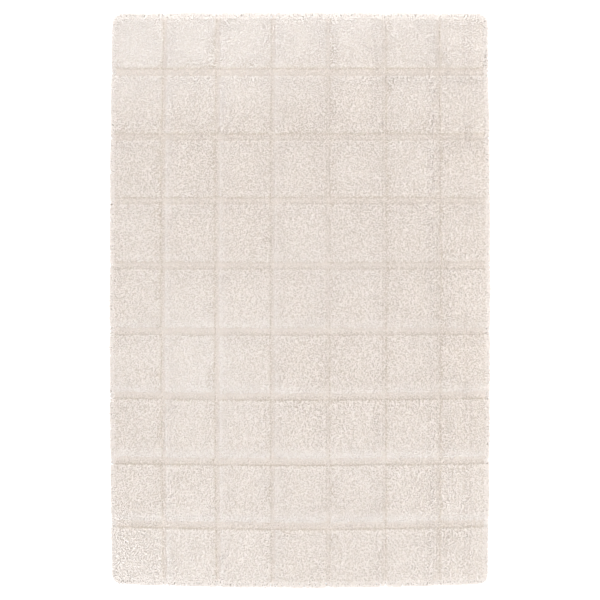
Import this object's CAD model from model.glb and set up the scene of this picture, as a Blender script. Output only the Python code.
import math

import bpy
import numpy as np
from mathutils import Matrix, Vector


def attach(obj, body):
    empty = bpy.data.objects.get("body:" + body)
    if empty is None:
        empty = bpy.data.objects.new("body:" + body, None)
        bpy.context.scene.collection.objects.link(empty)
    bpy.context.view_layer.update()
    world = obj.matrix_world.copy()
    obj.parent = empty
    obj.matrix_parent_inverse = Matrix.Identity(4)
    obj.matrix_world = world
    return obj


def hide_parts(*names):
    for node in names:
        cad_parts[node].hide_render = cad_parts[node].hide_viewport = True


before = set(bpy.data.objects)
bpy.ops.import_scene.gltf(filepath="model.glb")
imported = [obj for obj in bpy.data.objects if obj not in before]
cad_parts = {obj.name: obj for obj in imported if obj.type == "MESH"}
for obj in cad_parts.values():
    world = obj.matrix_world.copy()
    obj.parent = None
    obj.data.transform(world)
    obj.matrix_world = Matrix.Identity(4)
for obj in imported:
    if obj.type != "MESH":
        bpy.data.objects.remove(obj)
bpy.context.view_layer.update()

# The rug's plan, in metres. Columns are the lines along the rug, from its left to its right,
# and rows are those across it, from its low end up, both taken at the middle of the rug. The
# first and the last line are edges and have no width, and the others are channels. A shift is
# how far a line has moved at its two ends.
columns = {
    "places": (-0.8000, -0.5830, -0.3535, -0.1170, 0.1180, 0.3585, 0.5900, 0.8000),
    "shifts": (0.0120, 0.0090, 0.0065, 0.0035, 0.0010, -0.0010, -0.0030, -0.0120),
    "widths": (0.0, 0.017, 0.018, 0.015, 0.015, 0.017, 0.018, 0.0),
    "steepness": 6.0,  # how soon a channel's outer side differs, away from the rug's middle
}
rows = {
    "places": (
        -1.2080, -0.9620, -0.6890, -0.4115, -0.1350, 0.1450, 0.4220, 0.6935, 0.9710, 1.2080
    ),
    "shifts": (0.0170, 0.0120, 0.0080, 0.0080, 0.0030, 0.0030, 0.0, 0.0, 0.0, -0.0040),
    "widths": (0.0, 0.030, 0.030, 0.029, 0.030, 0.029, 0.028, 0.028, 0.032, 0.0),
    "steepness": 2.5,
}
halfWidth, halfLength = columns["places"][-1], rows["places"][-1]

rugShape = {
    "blockTop": 0.0300,
    "channelTop": 0.0205,
    "columnDepth": 0.90,  # depth of the channels along the rug, as a share of the others'
    "rimTop": 0.0170,
    "shoulderDrop": 0.0034,  # how far a block falls off to its borders
    "shoulderReach": 0.030,  # and over what distance
    "lumps": ((0.0010, 0.055, 11), (0.0006, 0.024, 12)),  # height, size and seed of the noise
    # where a channel's floor and banks end, in its half widths, at the tips and at the ground
    "tipEnds": (0.86, 1.10),
    "groundEnds": (1.15, 1.75),
    "ragged": 0.0020,  # how far a channel's banks waver
    "raggedSize": 0.019,
    "raggedSeeds": (31, 32),
    "cornerRadius": 0.030,
    "rimRound": 0.014,
    "rimReach": 0.03,  # how far in from the rim its notches and waves are felt
    "notch": 0.0045,  # how far the rim draws in where a channel runs out
    "rimWave": 0.0018,
    "rimWaveSize": 0.045,
    "rimWaveSeed": 33,
}
latticeReach = 2.0  # the noise covers this far from the rug's middle


# Random heights on a square lattice of the given size, blended by a smooth step between the
# four corners of each cell. They run from -1 to 1.
def softNoise(x, y, size, seed):
    rng = np.random.default_rng(seed)
    cells = int(2 * latticeReach / size) + 3
    lattice = rng.uniform(-1.0, 1.0, (cells, cells))
    across, along = (np.asarray(x) + latticeReach) / size, (np.asarray(y) + latticeReach) / size
    i, j = np.floor(across).astype(int), np.floor(along).astype(int)
    s, t = across - i, along - j
    s, t = s * s * (3 - 2 * s), t * t * (3 - 2 * t)
    near = lattice[i, j] * (1 - s) + lattice[i + 1, j] * s
    far = lattice[i, j + 1] * (1 - s) + lattice[i + 1, j + 1] * s
    return near * (1 - t) + far * t


# 1 on a channel's floor and 0 past its banks, straight in between. Where a channel's floor
# and banks end is given as shares of its half width.
def channelDepth(at, lines, ends):
    depth = np.zeros_like(at)
    floorEnd, bankEnd = ends
    for place, width in zip(lines["places"], lines["widths"], strict=True):
        if width:
            share = np.abs(at - place) / (width / 2)
            risen = np.clip((share - floorEnd) / (bankEnd - floorEnd), 0, 1)
            depth = np.maximum(depth, 1 - risen)
    return depth


# How far the banks of the columns and of the rows waver, by soft noise.
def channelWavers(x, y):
    return [rugShape["ragged"] * softNoise(x, y, rugShape["raggedSize"], seed)
            for seed in rugShape["raggedSeeds"]]


# Depth of the columns and of the rows, with their wavering banks.
def channelsAt(x, y, ends):
    waverX, waverY = channelWavers(x, y)
    return channelDepth(x + waverX, columns, ends), channelDepth(y + waverY, rows, ends)


# The number of the line that lies nearest, found by the middles between the lines.
def nearestLine(at, places):
    return np.searchsorted((places[:-1] + places[1:]) / 2, at)


# Which side of the nearest channel a place is on: 1 on the side of the rug's edge, -1 on the
# side of its middle, and less near the middle.
def outerSide(at, lines):
    places = np.asarray(lines["places"])
    place = places[nearestLine(at, places)]
    side = lines["steepness"] * np.sign(at - place)
    return np.clip(side * place / places[-1], -1, 1)


# Distance to the nearest channel's border. The rug's own edges count for nothing.
def borderDistance(at, lines):
    distance = np.full_like(at, np.inf)
    for place, width in zip(lines["places"], lines["widths"], strict=True):
        if width:
            distance = np.minimum(distance, np.abs(np.abs(at - place) - width / 2))
    return distance


# Distance to the nearest edge of the plan.
def rimDistance(x, y):
    return np.minimum(halfWidth - np.abs(x), halfLength - np.abs(y))


# 1 on the rug's edge, and 0 from where the rim's rounding ends.
def rimShare(x, y):
    return np.clip(1 - rimDistance(x, y) / rugShape["rimRound"], 0, 1)


# Faint lines along the rug where rows of tufts part, most of all at the rug's right.
partings = {
    "spacing": 0.0255,
    "depth": 0.0034,
    "waver": 0.15,  # share of a spacing
    "waverSize": 0.12,
    "seed": 13,
    "start": 0.40,  # where they begin to grow towards the right
    "reach": 0.25,
    "least": 0.12,
}


# The third power of a raised cosine, its phase wavering by soft noise.
def parting(x, y):
    waver = partings["waver"] * softNoise(x, y, partings["waverSize"], partings["seed"])
    phase = x / partings["spacing"] + 0.5 + waver
    share = np.clip((x - partings["start"]) / partings["reach"], partings["least"], 1)
    return share * (0.5 + 0.5 * np.cos(2 * math.pi * phase)) ** 3


# Height of the pile's tips: blocks that fall off by a square near their borders, sunk to the
# channels, swollen by soft noise, parted in lines, and rounded off at the rim by a square root.
def pileTop(x, y, depth):
    nearest = np.minimum(borderDistance(x, columns), borderDistance(y, rows))
    fall = np.clip(1 - nearest / rugShape["shoulderReach"], 0, 1) ** 2
    block = rugShape["blockTop"] - rugShape["shoulderDrop"] * fall
    lump = sum(rise * softNoise(x, y, size, seed) for rise, size, seed in rugShape["lumps"])
    lump -= partings["depth"] * parting(x, y)
    top = block + (rugShape["channelTop"] - block) * depth + lump
    inside = np.clip(rimDistance(x, y) / rugShape["rimRound"], 0, 1)
    rim = np.minimum(top, rugShape["rimTop"])
    return rim + (top - rim) * np.sqrt(inside)


# Where a place of the plan lies. Its square corner is drawn onto an arc, the rim draws in at
# the channels' ends, and the lines bow by the square of the distance from the rug's middle.
def layOut(x, y):
    radius, reach = rugShape["cornerRadius"], rugShape["rimReach"]
    pastX, pastY = np.abs(x) - (halfWidth - radius), np.abs(y) - (halfLength - radius)
    inCorner = (pastX > 0) & (pastY > 0)
    pull = np.maximum(pastX, pastY) / np.maximum(np.hypot(pastX, pastY), 1e-9)
    roundX = np.where(inCorner, np.sign(x) * (halfWidth - radius + pastX * pull), x)
    roundY = np.where(inCorner, np.sign(y) * (halfLength - radius + pastY * pull), y)
    nearX = np.clip(1 - (halfWidth - np.abs(x)) / reach, 0, 1)
    nearY = np.clip(1 - (halfLength - np.abs(y)) / reach, 0, 1)
    drawX = rugShape["notch"] * channelDepth(y, rows, rugShape["tipEnds"])
    drawY = rugShape["notch"] * channelDepth(x, columns, rugShape["tipEnds"])
    wave = softNoise(x, y, rugShape["rimWaveSize"], rugShape["rimWaveSeed"])
    wave *= rugShape["rimWave"]
    roundX = roundX - np.sign(x) * nearX * (drawX + wave)
    roundY = roundY - np.sign(y) * nearY * (drawY + wave)
    bowX = np.interp(x, columns["places"], columns["shifts"])
    bowY = np.interp(y, rows["places"], rows["shifts"])
    return roundX + bowX * (roundY / halfLength) ** 2, roundY + bowY * (roundX / halfWidth) ** 2


# A piece from its points and from faces that all have the same number of corners.
def makePiece(name, points, corners, materials):
    mesh = bpy.data.meshes.new(name)
    mesh.vertices.add(len(points))
    mesh.vertices.foreach_set("co", points.astype(np.float32).ravel())
    mesh.loops.add(corners.size)
    mesh.loops.foreach_set("vertex_index", corners.astype(np.int32).ravel())
    mesh.polygons.add(len(corners))
    starts = np.arange(0, corners.size, corners.shape[1], dtype=np.int32)
    mesh.polygons.foreach_set("loop_start", starts)
    mesh.update(calc_edges=True)
    mesh.shade_smooth()
    for material in materials:
        mesh.materials.append(material)
    piece = bpy.data.objects.new(name, mesh)
    bpy.context.scene.collection.objects.link(piece)
    return piece


# One number for each point, for the material to read.
def addValues(piece, name, values):
    attribute = piece.data.attributes.new(name, "FLOAT", "POINT")
    attribute.data.foreach_set("value", np.asarray(values, np.float32).ravel())


# A new finish with its nodes and links.
def newMaterial(name):
    material = bpy.data.materials.new(name)
    material.use_nodes = True
    return material, material.node_tree.nodes, material.node_tree.links


def addNoise(nodes, links, vector, scale, detail=2.0):
    noise = nodes.new("ShaderNodeTexNoise")
    noise.inputs["Scale"].default_value = scale
    noise.inputs["Detail"].default_value = detail
    links.new(vector, noise.inputs["Vector"])
    return noise.outputs["Fac"]


# Draws a value in a straight line from one range to another.
def addRange(nodes, links, value, source, target):
    ranged = nodes.new("ShaderNodeMapRange")
    names = ("From Min", "From Max", "To Min", "To Max")
    for socket, number in zip(names, (*source, *target), strict=True):
        ranged.inputs[socket].default_value = number
    links.new(value, ranged.inputs["Value"])
    return ranged.outputs["Result"]


# Each value is a number, set on the socket, or comes from a node and is linked.
def addMath(nodes, links, operation, *values):
    node = nodes.new("ShaderNodeMath")
    node.operation = operation
    for number, value in enumerate(values):
        if isinstance(value, float):
            node.inputs[number].default_value = value
        else:
            links.new(value, node.inputs[number])
    return node.outputs[0]


# A colour mix. A colour given as numbers is set on the socket, and one from a node is linked.
def addMix(nodes, links, factor, first, second):
    mix = nodes.new("ShaderNodeMix")
    mix.data_type = "RGBA"
    links.new(factor, mix.inputs["Factor"])
    for socket, colour in ((mix.inputs[6], first), (mix.inputs[7], second)):
        if isinstance(colour, tuple):
            socket.default_value = (*colour, 1.0)
        else:
            links.new(colour, socket)
    return mix.outputs[2]


def addAttribute(nodes, name):
    attribute = nodes.new("ShaderNodeAttribute")
    attribute.attribute_name = name
    return attribute.outputs["Fac"]


def addBump(nodes, links, shader, height, strength, distance):
    bump = nodes.new("ShaderNodeBump")
    bump.inputs["Strength"].default_value = strength
    bump.inputs["Distance"].default_value = distance
    links.new(height, bump.inputs["Height"])
    links.new(bump.outputs["Normal"], shader.inputs["Normal"])


pileFinish = {
    "root": (0.88, 0.80, 0.715),  # deep in the pile, where it is yellower
    "rootEnds": (0.1, 0.55),  # where along a strand it turns to the tip's colour
    "tip": (0.970, 0.904, 0.863),
    "pale": (0.988, 0.943, 0.915),  # paler patches and ends
    "deep": (0.72, 0.62, 0.52),  # darker tufts
    "deepRange": (-0.6, 3.0),  # tones between which it comes in
    "deepShares": (0.0, 0.50),
    "fleck": (0.76, 0.665, 0.575),
    "fleckScale": 180.0,
    "fleckRange": (0.28, 0.56),  # of their noise, from full flecks to none
    "fleckShares": (0.10, 0.0),
    "flecksLeft": (1.0, 0.25),  # on plain yarn and on the palest
    "fibreScale": 900.0,
    "fibreStretch": 0.10,
    "fibreRange": (0.3, 0.7),
    "fibreShares": (0.0, 0.12),
    "roughness": 0.9,
    "specular": 0.2,
    "sheen": 0.25,
    "sheenRoughness": 0.5,
    "bump": (0.5, 0.0004),  # strength and distance
}


# Soft dark flecks where a fine noise is low, and fewer of them where the yarn is pale.
def addFlecks(nodes, links, place, colour):
    fleck = addNoise(nodes, links, place, pileFinish["fleckScale"], 0.0)
    share = addRange(nodes, links, fleck, pileFinish["fleckRange"], pileFinish["fleckShares"])
    pale = addAttribute(nodes, "pale")
    left = addRange(nodes, links, pale, (0.0, 1.0), pileFinish["flecksLeft"])
    flecks = addMath(nodes, links, "MULTIPLY", share, left)
    return addMix(nodes, links, flecks, colour, pileFinish["fleck"])


# Cream yarn: darker and yellower to its root, a little lighter or darker from tuft to tuft, in
# soft patches over the rug, with fine fibres that run up each tuft.
def pileMaterial():
    material, nodes, links = newMaterial("creamPile")
    shader = nodes["Principled BSDF"]
    place = nodes.new("ShaderNodeTexCoord").outputs["Object"]
    pale = addAttribute(nodes, "pale")
    tip = addMix(nodes, links, pale, pileFinish["tip"], pileFinish["pale"])
    along = addAttribute(nodes, "along")
    height = addRange(nodes, links, along, pileFinish["rootEnds"], (0.0, 1.0))
    colour = addMix(nodes, links, height, pileFinish["root"], tip)
    stretch = nodes.new("ShaderNodeMapping")
    stretch.inputs["Scale"].default_value = (1.0, 1.0, pileFinish["fibreStretch"])
    links.new(place, stretch.inputs["Vector"])
    fibre = addNoise(nodes, links, stretch.outputs["Vector"], pileFinish["fibreScale"])
    streak = addRange(nodes, links, fibre, pileFinish["fibreRange"], pileFinish["fibreShares"])
    colour = addMix(nodes, links, streak, colour, pileFinish["root"])
    colour = addFlecks(nodes, links, place, colour)
    tone = addAttribute(nodes, "tone")
    shade = addRange(nodes, links, tone, pileFinish["deepRange"], pileFinish["deepShares"])
    colour = addMix(nodes, links, shade, colour, pileFinish["deep"])
    links.new(colour, shader.inputs["Base Color"])
    shader.inputs["Roughness"].default_value = pileFinish["roughness"]
    shader.inputs["Specular IOR Level"].default_value = pileFinish["specular"]
    shader.inputs["Sheen Weight"].default_value = pileFinish["sheen"]
    shader.inputs["Sheen Roughness"].default_value = pileFinish["sheenRoughness"]
    addBump(nodes, links, shader, fibre, *pileFinish["bump"])
    return material


depthsFinish = {
    "tip": (0.820, 0.753, 0.690),
    "gap": (0.595, 0.530, 0.462),
    "pale": (0.94, 0.885, 0.84),
    "paleShares": (0.0, 0.8),
    "wall": (0.63, 0.55, 0.46),  # on the banks of the channels
    "curlScales": (150.0, 235.0),
    "curlWidth": 0.085,
    "fibreShares": (0.0, 0.25),
    "bump": (0.8, 0.0025),
}


# Curling lines: where a noise passes through its middle value, falling off to both sides.
def addCurls(nodes, links, vector, scale):
    off = addMath(nodes, links, "SUBTRACT", addNoise(nodes, links, vector, scale, 1.0), 0.5)
    away = addMath(nodes, links, "ABSOLUTE", off)
    return addRange(nodes, links, away, (0.0, depthsFinish["curlWidth"]), (1.0, 0.0))


# The dense lower pile as it shows between the strands: two layers of curling strands, light on
# their ridges and dark between, and swollen by a bump.
def depthsMaterial():
    material, nodes, links = newMaterial("pileDepths")
    shader = nodes["Principled BSDF"]
    place = nodes.new("ShaderNodeTexCoord").outputs["Object"]
    curls = [addCurls(nodes, links, place, scale) for scale in depthsFinish["curlScales"]]
    height = addMath(nodes, links, "MAXIMUM", *curls)
    colour = addMix(nodes, links, height, depthsFinish["gap"], depthsFinish["tip"])
    colour = addFlecks(nodes, links, place, colour)
    fibre = addNoise(nodes, links, place, pileFinish["fibreScale"])
    streak = addRange(nodes, links, fibre, pileFinish["fibreRange"], depthsFinish["fibreShares"])
    colour = addMix(nodes, links, streak, colour, depthsFinish["gap"])
    pale = addAttribute(nodes, "pale")
    paler = addRange(nodes, links, pale, (0.0, 1.0), depthsFinish["paleShares"])
    colour = addMix(nodes, links, paler, colour, depthsFinish["pale"])
    colour = addMix(nodes, links, addAttribute(nodes, "bank"), colour, depthsFinish["wall"])
    links.new(colour, shader.inputs["Base Color"])
    shader.inputs["Roughness"].default_value = pileFinish["roughness"]
    shader.inputs["Specular IOR Level"].default_value = pileFinish["specular"]
    addBump(nodes, links, shader, height, *depthsFinish["bump"])
    return material


backFinish = {
    "thread": (0.72, 0.65, 0.54),
    "gap": (0.48, 0.41, 0.32),
    "threadPitch": 0.0035,
    "unitWave": 0.314,  # length of a wave at a scale of 1
    "unevenness": 0.4,
    "fullAt": 0.6,  # how far up its crossed waves a thread has its full colour
    "roughness": 0.95,
    "bump": (0.6, 0.0006),
}


# Plain woven ground cloth: two wave textures crossed over each other.
def backMaterial():
    material, nodes, links = newMaterial("wovenGround")
    shader = nodes["Principled BSDF"]
    place = nodes.new("ShaderNodeTexCoord").outputs["Object"]
    waves = []
    for direction in ("X", "Y"):
        wave = nodes.new("ShaderNodeTexWave")
        wave.bands_direction = direction
        wave.inputs["Scale"].default_value = backFinish["unitWave"] / backFinish["threadPitch"]
        wave.inputs["Distortion"].default_value = backFinish["unevenness"]
        links.new(place, wave.inputs["Vector"])
        waves.append(wave.outputs["Fac"])
    crossed = addMath(nodes, links, "MULTIPLY", *waves)
    height = addRange(nodes, links, crossed, (0.0, backFinish["fullAt"]), (0.0, 1.0))
    colour = addMix(nodes, links, height, backFinish["gap"], backFinish["thread"])
    links.new(colour, shader.inputs["Base Color"])
    shader.inputs["Roughness"].default_value = backFinish["roughness"]
    addBump(nodes, links, shader, height, *backFinish["bump"])
    return material


creamPile, pileDepths, wovenGround = pileMaterial(), depthsMaterial(), backMaterial()
print("finishes made")

# How pale the yarn is, from 0 to 1: soft patches over the rug, one broad spot, both ends, most
# of all at their left, the rim, and the blocks' low and left borders.
paleness = {
    "patches": 0.30,
    "patchShares": (0.5, 0.5, 0.35),  # everywhere, in broad patches and in fine ones
    "patchSizes": (0.42, 0.11),
    "patchSeed": 41,
    "spot": (-0.46, -0.17),
    "spotReach": (0.34, 0.40),
    "spotShare": 0.47,
    "endReach": 0.44,
    "endShares": (0.34, 0.82),  # at the low end and at the high one
    "endTilt": 0.5,  # how much more at the left and less at the right
    "rimReach": 0.030,
    "rimShare": 0.10,
    "lowBorder": (1.20, 0.042),  # share and reach
    "lowFade": (0.45, 0.75),  # share of it at the rug's middle, and how fast it falls upwards
    "leftBorder": (0.68, 0.027),
    "leftFade": (0.5, 1.2),  # the same, and how fast it falls to the right
}


# How near a place is to the border below it or left of it: 1 at the border, 0 past the reach.
def pastBorder(at, lines, reach):
    places, halves = np.asarray(lines["places"]), np.asarray(lines["widths"]) / 2
    number = np.clip(np.searchsorted(places, at) - 1, 0, len(places) - 2)
    past = np.abs(at - places[number] - halves[number])
    return np.clip(1 - past / reach, 0, 1) * (halves[number] > 0)


# The spot falls off as a bell curve, and all else in straight lines.
def paleShare(x, y):
    even, broad, fine = paleness["patchShares"]
    broadNoise, fineNoise = (
        softNoise(x, y, size, paleness["patchSeed"]) for size in paleness["patchSizes"])
    share = paleness["patches"] * (even + broad * broadNoise + fine * fineNoise)
    (spotX, spotY), (reachX, reachY) = paleness["spot"], paleness["spotReach"]
    off = ((x - spotX) / reachX) ** 2 + ((y - spotY) / reachY) ** 2
    share += paleness["spotShare"] * np.exp(-off)
    atEnd = np.clip(1 - (halfLength - np.abs(y)) / paleness["endReach"], 0, 1)
    tilt = 1 - paleness["endTilt"] * x / halfWidth
    share += np.where(y < 0, *paleness["endShares"]) * atEnd * tilt
    share += paleness["rimShare"] * np.clip(1 - rimDistance(x, y) / paleness["rimReach"], 0, 1)
    for lines, place, half, border, fade in (
        (rows, y, halfLength, "lowBorder", "lowFade"),
        (columns, x, halfWidth, "leftBorder", "leftFade"),
    ):
        most, reach = paleness[border]
        middle, loss = paleness[fade]
        past = pastBorder(place, lines, reach)
        share += most * past * np.clip(middle - loss * place / half, 0, 1)
    return np.clip(share, 0, 1)


# The ground: the rug's cloth and the dense lower part of its pile, as one closed sheet.
ground = {
    "blockAbove": 0.0073,  # how far the strands stand out of it on the blocks
    "channelAbove": 0.0065,
    "linesInBlock": 4,
    "linesInChannel": 6,
    "rimLines": (0.0, 0.003, 0.008, 0.014),  # how far in from the rim they lie
    "rimRise": 0.45,  # how much less of the tufts stands free at the rim, where they lie over
    "inset": 0.0055,  # from the rim of the pile to the rim of the ground
    "underInset": 0.0120,
}


# The pile's tips less the free length of the tufts.
def groundTop(x, y):
    depthX, depthY = channelsAt(x, y, rugShape["groundEnds"])
    depth = np.maximum(rugShape["columnDepth"] * depthX, depthY)
    above = ground["blockAbove"] + (ground["channelAbove"] - ground["blockAbove"]) * depth
    return pileTop(x, y, depth) - above * (1 - ground["rimRise"] * rimShare(x, y))


# Mesh lines close together in the channels and further apart in the blocks.
def planLines(lines):
    places, widths = lines["places"], lines["widths"]
    found = [sign * (places[-1] - step) for sign in (-1, 1) for step in ground["rimLines"]]
    for number, (low, high) in enumerate(zip(places[:-1], places[1:], strict=True)):
        low += widths[number] / 2 * rugShape["groundEnds"][1]
        reach = widths[number + 1] / 2 * rugShape["groundEnds"][1]
        found.extend(np.linspace(low, high - reach, ground["linesInBlock"] + 2))
        if reach:
            found.extend(high + np.linspace(-reach, reach, ground["linesInChannel"] + 2)[1:-1])
    return np.unique(np.round(found, 6))


# 1 half way up a channel's outer bank, falling off by a parabola to its floor and its top.
def bankShare(x, y):
    shares = []
    for at, lines, depth in zip(
            (x, y), (columns, rows), channelsAt(x, y, rugShape["groundEnds"]), strict=True):
        shares.append(4 * depth * (1 - depth) * (0.5 + 0.5 * outerSide(at, lines)))
    return np.maximum(*shares)


# Two grids on the same plan lines, the upper one at groundTop and the lower one flat on the
# floor, with a wall of quads round the rim between them.
def makeGround():
    xs, ys = planLines(columns), planLines(rows)
    x, y = (grid.ravel() for grid in np.meshgrid(xs, ys))
    levels = []
    for inset, z in (
        (ground["inset"], groundTop(x, y)),
        (ground["underInset"], np.zeros_like(x)),
    ):
        placeX, placeY = layOut(x * (1 - inset / halfWidth), y * (1 - inset / halfLength))
        levels.append(np.stack((placeX, placeY, z), 1))
    index = np.arange(len(xs) * len(ys)).reshape(len(ys), len(xs))
    cell = np.stack((index[:-1, :-1], index[:-1, 1:], index[1:, 1:], index[1:, :-1]), -1)
    upper = cell.reshape(-1, 4)
    lower = upper[:, ::-1] + index.size
    rim = np.concatenate((index[0, :-1], index[:-1, -1], index[-1, :0:-1], index[:0:-1, 0]))
    after = np.roll(rim, -1)
    wall = np.stack((rim + index.size, after + index.size, after, rim), 1)
    piece = makePiece("pile_ground", np.concatenate(levels),
                      np.concatenate((upper, lower, wall)), (pileDepths, wovenGround))
    addValues(piece, "bank", np.tile(bankShare(x, y), 2))
    addValues(piece, "pale", np.tile(paleShare(x, y), 2))
    slots = np.zeros(len(piece.data.polygons), np.int32)
    slots[len(upper):len(upper) + len(lower)] = 1
    piece.data.polygons.foreach_set("material_index", slots)
    return piece


groundPiece = makeGround()
print("ground made", len(groundPiece.data.polygons) * 2, "triangles")

# The tufts: leaning locks of yarn in faint rows along the rug. Of two numbers that stand for
# the two kinds of channels, the first is for the columns and the second for the rows.
tufts = {
    "pitches": (0.0042, 0.0041),  # across the rug and along it
    "jitter": 0.40,  # share of a pitch
    "rimGap": 0.001,  # from the plan's edge to the outermost tufts
    "buried": 0.0035,
    "lengths": (0.006, 0.019),  # shortest and longest free length
    "lowestRoot": 0.004,  # no root comes nearer to the floor
    # the strands
    "radius": 0.0025,
    "radiusSpread": 0.14,
    "radiusShares": (0.65, 1.4),  # the thinnest and the thickest
    "flatness": 0.45,  # rise of a strand's back as a share of its radius
    "fullAt": 0.62,  # share of the length where a strand is broadest
    "sag": 0.0016,
    "roll": 0.35,
    "furthestRoll": 0.9,
    # leans, as slopes
    "randomLean": (0.60, 0.46),  # across the rug and along it
    "nap": (0.0, -0.30),
    "napLean": 0.20,  # how much the nap differs from place to place
    "napSize": 0.16,
    "clumpLean": 0.22,
    "clumpSize": 0.0064,
    "leanSeeds": ((21, 22), (23, 24)),  # of the nap and of the clumps
    "floorLean": 0.9,  # share of the lean that is left on a channel's floor
    "borderStill": (1.0, 0.5),  # share lost at a border, of a lean away from it and over it
    # towards the channel, on its side nearer the rug's middle and on its outer side
    "borderLeans": ((0.38, -0.20), (0.12, -0.20)),
    "borderReach": 0.022,
    "rimLean": 0.65,
    "rimStill": 0.7,
    # the parting at the channels
    "blockClear": (0.0004, 0.0014),
    "channelClear": 0.0010,
    "stray": 0.0021,  # how far single tufts stray over a channel's border
    "bankDrop": 0.0090,  # on a channel's outer side, where the rug's edge is near
    "bankDropLeast": 0.3,  # share of it that every tuft there has
    "bankWidth": 0.0060,
    # heights
    "clumpHeight": 0.0010,
    "clumpSeed": 25,
    "randomHeight": 0.0005,
    "furthestHeight": 0.002,  # the most that this adds or takes
    "pitDepth": 0.0015,  # how much lower some tufts stand, a few of them far more than most
    "deepestPit": 4,
    "channelPits": 0.6,  # how much deeper the pits are in the channels
    "speckSize": 0.0052,  # small dark hollows, fewer where the yarn is pale
    "speckStart": 0.40,  # where in its noise a speck begins, and how far on it is full
    "speckReach": 0.35,
    "speckSeed": 26,
    "speckOnPale": 0.8,  # how much of it the palest yarn loses
    "speckDepth": 0.0052,
    # tones: the higher, the darker
    "randomTone": 0.80,
    "speckTone": 4.0,
    "floorTones": (0.3, 0.65),
    "edgeTones": (0.0, 1.6),  # added near the borders of those floors
    "bankTones": (7.6, 1.1),  # on the outer sides of the channels
    "innerShares": (0.0, 0.30),  # how dark the inner sides are, as a share of the outer ones
    "bankFade": (0.3, 0.7),  # share of a bank's tone at the rug's middle, and what its edges add
    "partingTone": 1.3,
    "rimTone": 0.5,
    "strips": 5,
    "seed": 5,
}

# A strand is a bent leaf of four faces: a point at its root, two on its back and one at its
# tip. Its map has the root at a cell's foot and the tip at the cell's top.
strandFaces = np.array(((0, 1, 2), (3, 2, 1), (0, 3, 1), (0, 2, 3)))
strandAlong = np.array((0.0, tufts["fullAt"], tufts["fullAt"], 1.0))
strandMap = np.array(((0.5, 0.14), (0.12, 0.56), (0.88, 0.56), (0.5, 0.88)))
nearlyUp = (0.02, 0.01, 1.0)  # no strand lies quite along it


# How far strands are turned about their own lines, by a normal draw with cut ends.
def randomRoll(count, rng):
    furthest = tufts["furthestRoll"]
    return rng.normal(0, tufts["roll"], count).clip(-furthest, furthest)


# The two points of its back lie to both sides of the line from root to tip, lifted off it, so
# that the strand rises and then bends over. The roll turns them about that line.
def strandPoints(root, tip, radius, roll, lift):
    line = tip - root
    line /= np.linalg.norm(line, axis=1, keepdims=True)
    side = np.cross(line, nearlyUp)
    side /= np.linalg.norm(side, axis=1, keepdims=True)
    up = np.cross(side, line)
    turned = np.cos(roll)[:, None] * side + np.sin(roll)[:, None] * up
    risen = np.cos(roll)[:, None] * up - np.sin(roll)[:, None] * side
    back = root + (tip - root) * tufts["fullAt"] + risen * lift[:, None]
    spread = turned * radius[:, None]
    return np.stack((root, back + spread, back - spread, tip), 1)


# Each strand gets a square cell of its own in the map, and its upper and lower faces lie over
# each other there.
def addStrandMap(piece, count):
    across = int(math.ceil(math.sqrt(count)))
    corner = np.stack((np.arange(count) % across, np.arange(count) // across), 1)
    places = (corner[:, None] + strandMap[strandFaces.ravel()]) / across
    layer = piece.data.uv_layers.new(name="OFBake")
    layer.data.foreach_set("uv", places.astype(np.float32).ravel())


# Joins strands into one piece.
def makeStrands(name, root, tip, radius, roll, lift, tone, pale):
    points = strandPoints(root, tip, radius, roll, lift)
    first = np.arange(len(root)) * len(strandAlong)
    corners = (first[:, None, None] + strandFaces).reshape(-1, 3)
    piece = makePiece(name, points.reshape(-1, 3), corners, (creamPile,))
    addValues(piece, "along", np.tile(strandAlong, len(root)))
    addValues(piece, "tone", np.repeat(tone, len(strandAlong)))
    addValues(piece, "pale", np.repeat(pale, len(strandAlong)))
    addStrandMap(piece, len(root))
    return piece


# Parts the tufts at a channel's border and leaves a crevice between them: those in the
# channel are drawn in to its middle, and those on the blocks beside it are pushed back. The
# pull points from a block to its channel and fades with the distance, and the floor's edge
# grows from 0 at the middle of a channel to 1 at its border.
def partTufts(at, lines, waver, blockClear):
    places, halves = np.asarray(lines["places"]), np.asarray(lines["widths"]) / 2
    number = nearestLine(at, places)
    offset, half = at - places[number], halves[number]
    away = np.abs(offset)
    inside = (away + waver < half) & (half > 0)
    outward = outerSide(at, lines)
    kept = offset * (half - tufts["channelClear"] * (1 + outward)) / np.maximum(half, 1e-6)
    fade = np.clip(1 - (away - half) / tufts["borderReach"], 0, 1) * (half > 0)
    pushed = offset + np.sign(offset) * blockClear * (1 + outward) * fade
    return {
        "at": places[number] + np.where(inside, kept, pushed),
        "rugHalf": places[-1],
        "inside": inside,
        "outward": outward,
        "pull": -np.sign(offset) * fade * ~inside,
        "floorEdge": away / np.maximum(half, 1e-6) * inside,
    }


# A grid of stitches, each a little off its place, parted at the columns and at the rows.
def placeTufts(rng):
    reaches = halfWidth - tufts["rimGap"], halfLength - tufts["rimGap"]
    stitches = []
    for reach, pitch in zip(reaches, tufts["pitches"], strict=True):
        number = int(2 * reach / pitch)
        stitches.append(((np.arange(number) + 0.5) / number * 2 - 1) * reach)
    places = []
    for grid, reach, pitch in zip(
            np.meshgrid(*stitches), reaches, tufts["pitches"], strict=True):
        moved = grid.ravel() + rng.uniform(-1, 1, grid.size) * tufts["jitter"] * pitch
        places.append(np.clip(moved, -reach, reach))
    wavers = [waver + rng.normal(0, tufts["stray"], waver.size)
              for waver in channelWavers(*places)]
    return [partTufts(at, lines, waver, clear) for at, lines, waver, clear in zip(
        places, (columns, rows), wavers, tufts["blockClear"], strict=True)]


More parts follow.
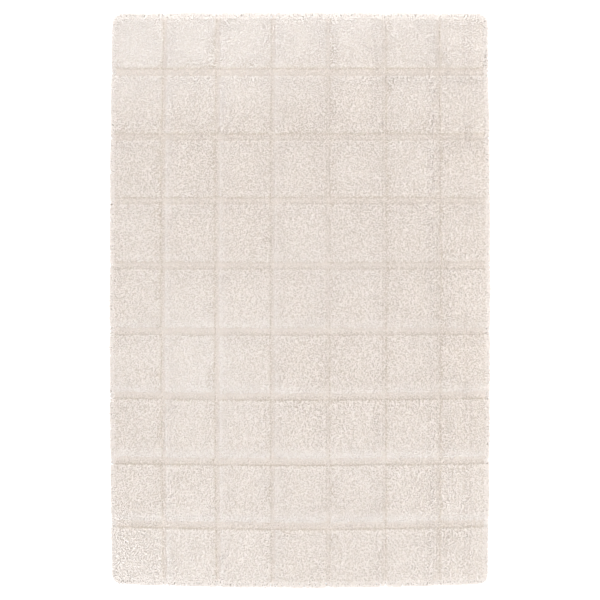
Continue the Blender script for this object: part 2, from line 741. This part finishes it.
# A tuft's slope along one axis: a random part, soft noise at the size of clumps and of
# patches, and the nap. It is less at a channel's border, where a pull comes in, and at the
# rim, where the tufts lean outwards.
def leanTufts(stand, axis, x, y, inChannel, rng):
    napSeed, clumpSeed = tufts["leanSeeds"][axis]
    lean = rng.normal(0, tufts["randomLean"][axis], x.size)
    lean += tufts["clumpLean"] * softNoise(x, y, tufts["clumpSize"], clumpSeed)
    lean += tufts["nap"][axis] + tufts["napLean"] * softNoise(x, y, tufts["napSize"], napSeed)
    pull = stand["pull"]
    near = np.abs(pull) ** 2 * ~inChannel
    awayStill, towardsStill = tufts["borderStill"]
    left = np.where(lean * pull < 0, 1 - awayStill * near, 1 - towardsStill * near)
    lean *= np.where(stand["inside"], tufts["floorLean"], left)
    lean += np.interp(stand["outward"], (-1, 1), tufts["borderLeans"][axis]) * pull * near
    at, rugHalf = stand["at"], stand["rugHalf"]
    atRim = np.clip(1 - (rugHalf - np.abs(at)) / rugShape["rimRound"], 0, 1)
    return lean * (1 - tufts["rimStill"] * atRim) + tufts["rimLean"] * np.sign(at) * atRim


# The pile's top, with clumps, specks as small hollows, and pits by an exponential draw.
def tipHeights(stands, x, y, inChannel, speck, rng):
    depth = np.maximum(rugShape["columnDepth"] * stands[0]["inside"], stands[1]["inside"])
    height = pileTop(x, y, depth)
    height += tufts["clumpHeight"] * softNoise(x, y, tufts["clumpSize"], tufts["clumpSeed"])
    height -= tufts["speckDepth"] * speck
    furthest = tufts["furthestHeight"]
    height += rng.normal(0, tufts["randomHeight"], x.size).clip(-furthest, furthest)
    pits = rng.exponential(1.0, x.size).clip(0, tufts["deepestPit"]) - 1
    height -= tufts["pitDepth"] * (1 + tufts["channelPits"] * inChannel) * pits
    return height


# How much a tuft belongs to a channel's bank, and how dark it is for that. Both fall off in
# straight lines from the border and are most on the outer sides. How dark it is also grows
# towards the rug's edges and differs by chance.
def bankShading(stands, inChannel, rng):
    bankFrom = 1 - tufts["bankWidth"] / tufts["borderReach"]
    bank, shade = np.zeros(inChannel.size), np.zeros(inChannel.size)
    least, more = tufts["bankFade"]
    for axis, stand in enumerate(stands):
        share = np.clip((np.abs(stand["pull"]) - bankFrom) / (1 - bankFrom), 0, 1)
        share *= np.interp(stand["outward"], (-1, 1), (tufts["innerShares"][axis], 1))
        bank = np.maximum(bank, share)
        away = least + more * np.abs(stand["at"]) / stand["rugHalf"]
        dark = tufts["bankTones"][axis] * away
        shade += dark * share * ~inChannel * rng.uniform(0, 2, inChannel.size)
    return bank, shade


# How dark each tuft is: a random part, and the specks, banks, floors, partings and rim.
def tuftTones(stands, x, y, speck, shade, rng):
    tone = tufts["randomTone"] * rng.uniform(-1, 1, x.size) + tufts["speckTone"] * speck
    tone += shade + tufts["partingTone"] * parting(x, y)
    for axis, stand in enumerate(stands):
        edge = np.clip(2 * stand["floorEdge"] - 1, 0, 1)
        tone += tufts["floorTones"][axis] * stand["inside"] + tufts["edgeTones"][axis] * edge
    tone += tufts["rimTone"] * rimShare(x, y)
    return tone


# A tuft's tip lies at its height on the plan, and its root is its free length and the buried
# one back along its lean. The free length is what stands over the ground there.
def plantTufts():
    rng = np.random.default_rng(tufts["seed"])
    stands = placeTufts(rng)
    x, y = (stand["at"] for stand in stands)
    inChannel = stands[0]["inside"] | stands[1]["inside"]
    leans = [leanTufts(stand, axis, x, y, inChannel, rng) for axis, stand in enumerate(stands)]
    direction = np.stack((*leans, np.ones(x.size)), 1)
    direction /= np.linalg.norm(direction, axis=1, keepdims=True)
    pale = paleShare(x, y) * ~inChannel
    speck = softNoise(x, y, tufts["speckSize"], tufts["speckSeed"]) - tufts["speckStart"]
    speck = np.clip(speck / tufts["speckReach"], 0, 1) * (1 - tufts["speckOnPale"] * pale)
    height = tipHeights(stands, x, y, inChannel, speck, rng)
    bank, shade = bankShading(stands, inChannel, rng)
    drop = rng.uniform(tufts["bankDropLeast"], 1, x.size)
    height -= tufts["bankDrop"] * bank * ~inChannel * drop
    tip = np.stack((*layOut(x, y), height), 1)
    back = direction[:, :2] * ground["blockAbove"]
    length = (height - groundTop(x - back[:, 0], y - back[:, 1])) / direction[:, 2]
    length = length.clip(*tufts["lengths"]) + tufts["buried"]
    root = tip - direction * length[:, None]
    root[:, 2] = root[:, 2].clip(tufts["lowestRoot"])
    share = rng.normal(1.0, tufts["radiusSpread"], x.size).clip(*tufts["radiusShares"])
    radius = tufts["radius"] * share
    roll = randomRoll(x.size, rng)
    tone = tuftTones(stands, x, y, speck, shade, rng)
    lift = tufts["flatness"] * radius + tufts["sag"] * rng.uniform(0, 1, x.size)
    strands = root, tip, radius, roll, lift, tone, pale
    pieces = []
    for number, chosen in enumerate(np.array_split(np.arange(x.size), tufts["strips"]), 1):
        pieces.append(makeStrands(f"pile_strip_{number}", *(value[chosen] for value in strands)))
    return pieces


strips = plantTufts()
print("strands planted", sum(len(piece.data.polygons) for piece in strips), "triangles")

# Locks that stand out of the rim in tiers.
rimLocks = {
    "pitch": 0.0040,
    "jitter": 0.4,  # share of a pitch
    # height of the tip, how far out of the plan's edge it reaches, and slope of the lock
    "tiers": (
        (0.0215, 0.0005, 1.30), (0.0200, 0.0045, 1.00), (0.0165, 0.0090, 0.80),
        (0.0130, 0.0125, 0.60), (0.0090, 0.0150, 0.40), (0.0055, 0.0155, 0.20),
    ),
    "endStretch": 0.55,  # further out at the rug's two ends, as a share of the reach
    "uneven": 0.0018,
    "furthestUneven": 1.6,  # as a share of it
    "sway": 0.0022,
    "heightSpread": 0.0015,
    "slopeSpread": 0.15,
    "length": 0.018,
    "lowestRoot": 1.25,  # as a share of the radius
    "radius": 0.0030,
    "radiusShares": (0.8, 1.2),
    "tones": (0.0, 0.9),
    "paleShares": (0.2, 0.5),  # everywhere, and as a share of the pile's own
    "lookAhead": 0.004,  # how far on and back the rim's direction is taken
    "seed": 9,
}


# A place on the plan's outline, from how far it is round the rug from its low left corner.
def outlineAt(walked):
    sideX, sideY = 2 * halfWidth, 2 * halfLength
    legs = np.array((0, sideX, sideX + sideY, 2 * sideX + sideY, 2 * (sideX + sideY)))
    cornersX = np.array((-1, 1, 1, -1, -1)) * halfWidth
    cornersY = np.array((-1, -1, 1, 1, -1)) * halfLength
    walked = walked % legs[-1]
    return layOut(np.interp(walked, legs, cornersX), np.interp(walked, legs, cornersY))


# Walks round the plan's outline. At each step a lock points out of the rim, square to it.
def plantRimLocks():
    rng = np.random.default_rng(rimLocks["seed"])
    way = 4 * (halfWidth + halfLength)
    steps = int(way / rimLocks["pitch"])
    jitter, spread = rimLocks["jitter"], rimLocks["heightSpread"]
    furthest = rimLocks["furthestUneven"]
    roots, tips = [], []
    for height, reach, slope in rimLocks["tiers"]:
        walked = (np.arange(steps) + rng.uniform(-jitter, jitter, steps)) / steps * way
        edgeX, edgeY = outlineAt(walked)
        nextX, nextY = outlineAt(walked + rimLocks["lookAhead"])
        lastX, lastY = outlineAt(walked - rimLocks["lookAhead"])
        outX, outY = nextY - lastY, lastX - nextX
        size = np.maximum(np.hypot(outX, outY), 1e-6)
        outX, outY = outX / size, outY / size
        out = reach * (1 + rimLocks["endStretch"] * np.abs(outY))
        out += rimLocks["uneven"] * rng.normal(0, 1, steps).clip(-furthest, furthest)
        sway = rng.normal(0, rimLocks["sway"], steps)
        tipX, tipY = edgeX + outX * out - outY * sway, edgeY + outY * out + outX * sway
        tip = np.stack((tipX, tipY, height + rng.uniform(-spread, spread, steps)), 1)
        direction = np.stack((outX, outY, np.full(steps, slope)), 1)
        direction[:, 2] += rng.normal(0, rimLocks["slopeSpread"], steps)
        direction /= np.linalg.norm(direction, axis=1, keepdims=True)
        root = tip - direction * rimLocks["length"]
        root[:, 2] = np.maximum(root[:, 2], rimLocks["radius"] * rimLocks["lowestRoot"])
        roots.append(root)
        tips.append(tip)
    root, tip = np.concatenate(roots), np.concatenate(tips)
    count = len(root)
    radius = rimLocks["radius"] * rng.uniform(*rimLocks["radiusShares"], count)
    roll = randomRoll(count, rng)
    tone = rng.uniform(*rimLocks["tones"], count)
    even, own = rimLocks["paleShares"]
    pale = even + own * paleShare(tip[:, 0], tip[:, 1])
    lift = tufts["flatness"] * radius
    return makeStrands("rim_locks", root, tip, radius, roll, lift, tone, pale)


rimPiece = plantRimLocks()
print("rim locks planted", len(rimPiece.data.polygons), "triangles")

# Floor, lights and camera
studio = {
    "floor": (0.94, 0.94, 0.94),
    "floorReach": 30.0,
    "floorTop": -0.0006,
    "glow": 0.28,  # a light table under the paper
    "paperRoughness": 0.9,
    "paperSpecular": 0.1,
    "white": (1.0, 1.0, 1.0, 1.0),
    "world": 1.235,
    # name, place, size, watts
    "softboxes": (
        ("overhead", (0.0, 0.0, 4.6), (3.0, 3.6), 60.0),
        ("lowEnd", (0.0, -2.3, 1.1), (3.4, 0.6), 10.0),
        ("leftSide", (-2.0, 0.0, 1.1), (0.6, 3.0), 4.7),
        ("rightSide", (2.0, 0.0, 1.1), (0.6, 3.0), 9.5),
        ("highEnd", (0.0, 2.3, 1.1), (3.4, 0.6), 17.0),
    ),
    "exposure": 0.0,
}


# A wide sheet of pale paper just under the rug, with a glow of its own.
def makeFloor():
    reach, top = studio["floorReach"], studio["floorTop"]
    sides = ((-1, -1), (1, -1), (1, 1), (-1, 1))
    mesh = bpy.data.meshes.new("floor")
    mesh.from_pydata([(i * reach, j * reach, top) for i, j in sides], [], [(0, 1, 2, 3)])
    paperFloor = bpy.data.objects.new("floor", mesh)
    bpy.context.scene.collection.objects.link(paperFloor)
    paper, nodes, _links = newMaterial("palePaper")
    shader = nodes["Principled BSDF"]
    shader.inputs["Base Color"].default_value = (*studio["floor"], 1.0)
    shader.inputs["Roughness"].default_value = studio["paperRoughness"]
    shader.inputs["Specular IOR Level"].default_value = studio["paperSpecular"]
    shader.inputs["Emission Color"].default_value = studio["white"]
    shader.inputs["Emission Strength"].default_value = studio["glow"]
    mesh.materials.append(paper)
    return paperFloor


# An even white surround, and soft boxes that face the rug's middle.
def makeLights():
    world = bpy.data.worlds.new("studio")
    world.use_nodes = True
    background = world.node_tree.nodes["Background"]
    background.inputs["Color"].default_value = studio["white"]
    background.inputs["Strength"].default_value = studio["world"]
    bpy.context.scene.world = world
    for name, place, size, watts in studio["softboxes"]:
        lamp = bpy.data.lights.new(name, "AREA")
        lamp.shape, lamp.size, lamp.size_y, lamp.energy = "RECTANGLE", size[0], size[1], watts
        box = bpy.data.objects.new(name, lamp)
        box.location = place
        box.visible_camera = False
        box.rotation_mode = "QUATERNION"
        box.rotation_quaternion = (-Vector(place)).to_track_quat("-Z", "Y")
        bpy.context.scene.collection.objects.link(box)


cameraView = {
    "height": 3.2,  # above the tips of the pile
    "frameWidth": 2.546,  # how much the picture takes in, at the height of the pile
    "centre": (0.0, 0.001),
    "sensor": 36.0,  # in millimetres
}


# Straight above the rug, its lens chosen by the picture's width at the height of the pile.
def makeCamera():
    data = bpy.data.cameras.new("camera")
    data.sensor_width = cameraView["sensor"]
    data.lens = data.sensor_width * cameraView["height"] / cameraView["frameWidth"]
    camera = bpy.data.objects.new("camera", data)
    camera.location = (*cameraView["centre"], rugShape["blockTop"] + cameraView["height"])
    bpy.context.scene.collection.objects.link(camera)
    bpy.context.scene.camera = camera


floor = makeFloor()
makeLights()
makeCamera()
view = bpy.context.scene.view_settings
view.view_transform, view.look, view.exposure = "Standard", "None", studio["exposure"]
print("studio set")

for piece in (groundPiece, *strips, rimPiece):
    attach(piece, "root")
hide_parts("shag_rug")
